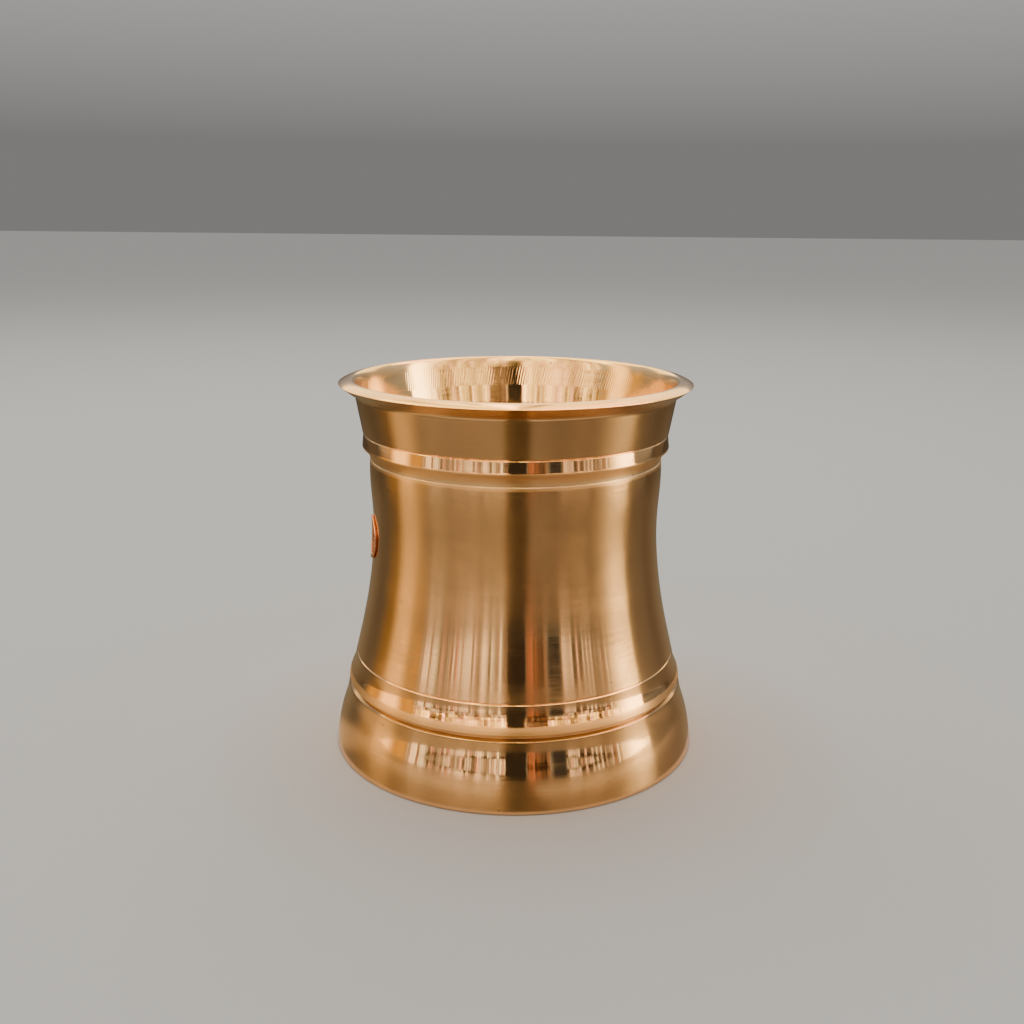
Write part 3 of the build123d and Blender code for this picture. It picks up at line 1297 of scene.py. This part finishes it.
def sector(graph: Graph, middle: float, side: float, edge: float) -> Socket:
    """Give 1 within side of a middle azimuth in degrees; side and its soft edge are in radians."""
    return graph.window(azimuth_past(graph, middle), -side, side, edge)


@dataclass(frozen=True)
class Screen:
    """Upright screen that curves round the pot for the metal to show."""

    FACE_WIDTH = 3.0

    name: str
    start: float
    end: float
    distance: float
    low: float
    high: float
    glow: float
    top_distance: float | None = field(default=None, kw_only=True)

    def _mesh(self) -> bpy.types.Mesh:
        """Make the screen's mesh.

        Returns:
            The mesh, which leans in if its upper edge has a distance of its own.
        """
        span = self.end - self.start
        count = max(1, math.ceil(span / self.FACE_WIDTH))
        edges = ((self.distance, self.low),
                 (self.distance if self.top_distance is None else self.top_distance, self.high))
        points = [around(self.start + span * i / count, reach, height)
                  for i in range(count + 1) for reach, height in edges]
        faces = [(2 * i, 2 * i + 1, 2 * i + 3, 2 * i + 2) for i in range(count)]
        return new_mesh(self.name, points, [], faces)

    def _shade(self, graph: Graph) -> Socket:
        """Add the nodes of the screen's light.

        Args:
            graph: the material's graph.

        Returns:
            The shader's output.
        """
        raise NotImplementedError

    def stand(self) -> None:
        """Stand the screen in its place."""
        material, graph = new_material(self.name)
        graph.node("ShaderNodeOutputMaterial", {0: self._shade(graph)})
        stage_mesh(self.name, self._mesh(), material)


@dataclass(frozen=True)
class Panel(Screen):
    """Plain screen, a light or a dark card, that fades out towards its two sides."""

    colour: Colour = (1.0, 1.0, 1.0)
    fade_start: float = 0.5
    fade_end: float = 0.5

    def _shade(self, graph: Graph) -> Socket:
        """Light the panel evenly and let it fade.

        Args:
            graph: the material's graph.

        Returns:
            The shader's output.
        """
        turn = azimuth_past(graph, (self.start + self.end) / 2.0)
        side = math.radians(self.end - self.start) / 2.0
        lit = graph.times(
            graph.ramp(turn, -side, -side + math.radians(self.fade_start), smooth=True),
            graph.ramp(turn, side - math.radians(self.fade_end), side, 1.0, 0.0, smooth=True))
        glow = graph.out("ShaderNodeEmission", {
            "Color": (*self.colour, 1.0), "Strength": graph.times(lit, self.glow)})
        return graph.out("ShaderNodeMixShader", {
            0: lit, 1: graph.out("ShaderNodeBsdfTransparent"), 2: glow})


@dataclass(frozen=True)
class SlattedLight(Screen):
    """Light behind rows of uneven upright slats, which break up what polished metal shows."""

    GAP = 0.2
    DIM = 0.08

    slats: float = 38.0
    row_height: float = 0.125
    pale: Colour = (1.0, 0.88, 0.70)
    warm: Colour = (1.0, 0.55, 0.40)

    def _shade(self, graph: Graph) -> Socket:
        """Give each slat its own length, strength and warmth, with dim gaps between them.

        Args:
            graph: the material's graph.

        Returns:
            The shader's output.
        """
        level = graph.math("DIVIDE", graph.split(graph.place())[2], self.row_height)
        along = graph.times(azimuth_past(graph, 0.0), self.slats)
        slat = graph.vector(graph.math("FLOOR", along), graph.math("FLOOR", level))
        chance = graph.node("ShaderNodeTexWhiteNoise", {0: slat}).outputs
        lot = graph.split(chance["Color"])
        group = graph.ramp(graph.noise(slat, 0.17, 1.0), 0.35, 0.6, 0.35, 1.0)
        lit = graph.times(graph.ramp(chance["Value"], 0.0, 1.0, 0.1, 1.0), group)
        gap = graph.math("GREATER_THAN", graph.math("FRACT", along), self.GAP)
        length = graph.math("MULTIPLY_ADD", lot[0], 0.35, 0.6)
        under = graph.math("LESS_THAN", graph.math("FRACT", level), length)
        shown = graph.math("MULTIPLY_ADD", graph.times(gap, under), 1.0 - self.DIM, self.DIM)
        colour = graph.blend(graph.times(lot[1], lot[1]), self.pale, self.warm)
        return graph.out("ShaderNodeEmission", {
            "Color": colour, "Strength": graph.times(graph.times(lit, shown), self.glow)})


@dataclass
class Studio:
    """Plain pale floor, soft light, cards for the metal to show, and the camera."""

    camera_distance: float = 0.306355
    camera_height: float = 0.144405
    pitch: float = 14.7653
    yaw: float = 0.7074
    roll: float = 0.5513
    lens: float = 40.79
    shift: tuple[float, float] = (-0.01688, 0.00134)
    floor_colour: Colour = (0.46, 0.46, 0.45)
    world_low: float = 0.20
    world_high: float = 0.75
    world_colour: Colour = (1.0, 0.98, 0.95)
    card_colour: Colour = (0.115, 0.115, 0.12)
    card_roughness: float = 0.4
    softbox_size: Point = (1.4, 1.2)
    softbox_place: tuple[float, float, float] = (200.0, 0.35, 1.1)
    softbox_power: float = 14.0
    softbox_colour: Colour = (1.0, 0.94, 0.83)

    def camera(self) -> None:
        """Set up the camera a hand's breadth over the lip, looking down a little."""
        lens = bpy.data.cameras.new("camera")
        lens.sensor_width = 36.0
        lens.lens = self.lens
        lens.shift_x, lens.shift_y = self.shift
        lens.clip_start = 0.01
        camera = new_object("camera", lens)
        turn = (Matrix.Rotation(math.radians(-self.yaw), 4, "Z")
                @ Matrix.Rotation(math.radians(90.0 - self.pitch), 4, "X")
                @ Matrix.Rotation(math.radians(self.roll), 4, "Z"))
        camera.matrix_world = Matrix.Translation((0.0, -self.camera_distance, self.camera_height)) @ turn
        bpy.context.scene.camera = camera

    def floor(self) -> None:
        """Lay a large plain floor."""
        half = 6.0
        corners = [(-half, -half, 0.0), (half, -half, 0.0), (half, half, 0.0), (-half, half, 0.0)]
        mesh = new_mesh("floor", corners, [], [(0, 1, 2, 3)])
        material = bpy.data.materials.new("floor")
        material.use_nodes = True
        shader = material.node_tree.nodes["Principled BSDF"]
        shader.inputs["Base Color"].default_value = (*self.floor_colour, 1.0)
        shader.inputs["Roughness"].default_value = 0.8
        shader.inputs["Specular IOR Level"].default_value = 0.0
        stage_mesh("floor", mesh, material, seen=True)

    def table_card(self) -> None:
        """Lay a card round the foot, dark or pale by place with painted light and shade, which only shows in
        the metal.
        """
        count, inner, outer, level = 96, 0.0512, 0.85, 0.0006
        points = [around(360.0 * i / count, r, level) for i in range(count) for r in (inner, outer)]
        faces = [(2 * i, 2 * i + 1, (2 * i + 3) % (2 * count), (2 * i + 2) % (2 * count))
                 for i in range(count)]
        mesh = new_mesh("table_card", points, [], faces)
        material, graph = new_material("table_card")
        axes = graph.split(graph.place())
        # Darker behind the pot and a paler ring by the foot: painted shade and painted light.
        behind = graph.ramp(axes[1], -0.08, 0.02)
        pale_ring = graph.window(graph.radial(axes)[0], 0.080, 0.110, 0.02)
        colour: Any = self.card_colour
        # Patches of painted light and shade: a pool of light on the left, and the camera's shadow in front.
        for patch, tint in (
                (sector(graph, 42.0, 0.36, 0.16), (0.055, 0.06, 0.075)),
                (pale_ring, (0.58, 0.54, 0.47)),
                (behind, (0.018, 0.018, 0.017)),
                (sector(graph, -84.0, 0.18, 0.12), (0.33, 0.27, 0.18)),
                (sector(graph, 1.1, 0.15, 0.05), (0.008, 0.008, 0.008))):
            colour = graph.blend(patch, colour, tint)
        shader = graph.out("ShaderNodeBsdfPrincipled", {
            "Base Color": colour, "Roughness": self.card_roughness})
        graph.node("ShaderNodeOutputMaterial", {0: shader})
        stage_mesh("table_card", mesh, material)

    def world(self) -> None:
        """Fill the room with soft light that grows brighter overhead."""
        world = bpy.data.worlds.new("studio")
        world.use_nodes = True
        graph = Graph(world.node_tree)
        way = graph.node("ShaderNodeTexCoord").outputs["Generated"]
        strength = graph.ramp(graph.split(way)[2], 0.05, 0.35, self.world_low, self.world_high)
        light = graph.out("ShaderNodeBackground", {"Color": (*self.world_colour, 1.0), "Strength": strength})
        graph.node("ShaderNodeOutputWorld", {0: light})
        bpy.context.scene.world = world

    def softbox(self) -> None:
        """Hang the large soft light over and a little behind the pot."""
        lamp = bpy.data.lights.new("softbox", "AREA")
        lamp.shape = "RECTANGLE"
        lamp.size, lamp.size_y = self.softbox_size
        lamp.energy, lamp.color = self.softbox_power, self.softbox_colour
        light = new_object("softbox", lamp)
        place = around(*self.softbox_place)
        aim = (-place).to_track_quat("-Z", "Y").to_matrix().to_4x4()
        light.matrix_world = Matrix.Translation(place) @ aim
        light.visible_camera = light.visible_glossy = False

    def set_up(self) -> None:
        """Lay the floor, hang the lights, stand the cards and place the camera."""
        self.floor()
        self.table_card()
        self.world()
        self.softbox()
        high_slats = (26.0, 0.2, (1.0, 0.74, 0.30), (1.0, 0.56, 0.44))
        for thing in (
                Panel("card_front", -5.5, 7.7, 0.9, 0.0, 0.74, 0.04, (1.0, 0.85, 0.7)),
                Panel("glare_left", -106.0, -74.0, 0.9, 0.0, 0.7, 3.4, (1.0, 0.64, 0.25), 12.0, 12.0),
                Panel("glare_right", 60.0, 94.0, 0.9, 0.0, 0.7, 9.5, (1.0, 0.80, 0.48), 24.0, 1.5),
                Panel("warm_left", -122.0, -64.0, 1.0, 0.0, 0.34, 1.1, (1.0, 0.54, 0.08), 14.0, 8.0),
                Panel("dark_front", 22.0, 36.0, 1.0, 0.0, 0.19, 0.06, (0.9, 0.9, 1.0), 3.0, 6.0),
                Panel("light_back", 125.0, 235.0, 0.9, 0.33, 1.1, 3.0, (1.0, 0.80, 0.44), 15.0, 15.0),
                Panel("card_back", 112.0, 248.0, 0.6, 0.0, 0.12, 0.15, (1.0, 0.8, 0.6), 10.0, 10.0),
                SlattedLight("slats_warm", 8.0, 22.0, 1.0, 0.0, 0.5, 1.1, 46.0, 0.21,
                             (1.0, 0.66, 0.46), (1.0, 0.38, 0.18)),
                SlattedLight("slats_top", -180.0, 180.0, 0.95, 0.80, 1.5, 12.0, 4.3, 5.0,
                             (1.0, 0.78, 0.32), (1.0, 0.62, 0.40), top_distance=0.02),
                SlattedLight("slats_left", -72.0, -5.0, 1.05, 0.0, 0.25, 3.4),
                SlattedLight("slats_right", 32.0, 74.0, 1.05, 0.0, 0.25, 3.0),
                SlattedLight("slats_left_high", -72.0, -5.0, 1.05, 0.25, 0.84, 9.0, *high_slats),
                SlattedLight("slats_right_high", 7.0, 84.0, 1.05, 0.25, 0.84, 9.0, *high_slats)):
            thing.stand()
        self.camera()


def main() -> None:
    """Build the pot piece by piece, then the studio around it."""
    logging.basicConfig(level=logging.INFO, format="%(message)s")
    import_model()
    lathe = Lathe()
    Collar(lathe).build()
    WaistDrum(lathe).build()
    FootSkirt(lathe).build()
    BottomPlate(lathe).build()
    braze = FillerMetal("braze", (0.78, 0.50, 0.26), (0.50, 0.32, 0.17), 0.38)
    solder = FillerMetal("solder", (0.55, 0.53, 0.50), (0.30, 0.25, 0.20), 0.4)
    for name, node, slot, finish, *corners in (
            ("braze_line_upper", "upper_braze_ring", "braze", braze,
             (38.2, 80.2), (38.2, 85.2), (38.3, 85.2), (38.3, 80.3), (38.82, 80.3), (38.82, 80.2)),
            ("braze_line_lower", "lower_braze_ring", "braze", braze,
             (43.55, 18.2), (43.55, 23.0), (43.65, 23.0), (43.65, 18.3), (45.1, 18.3), (45.1, 18.2)),
            ("solder_line_base", "base_solder_ring", "soft_solder", solder,
             (48.3, 4.7), (48.4, 4.7), (48.4, 0.2), (47.8, 0.6), (48.3, 0.6))):
        FillerRing(lathe, name, node, slot, tuple(corners), finish).build()
    medallion = SideMedallion(lathe)
    medallion.build()
    medallion.build_pad(solder)
    Studio().set_up()


if __name__ == "__main__":
    main()
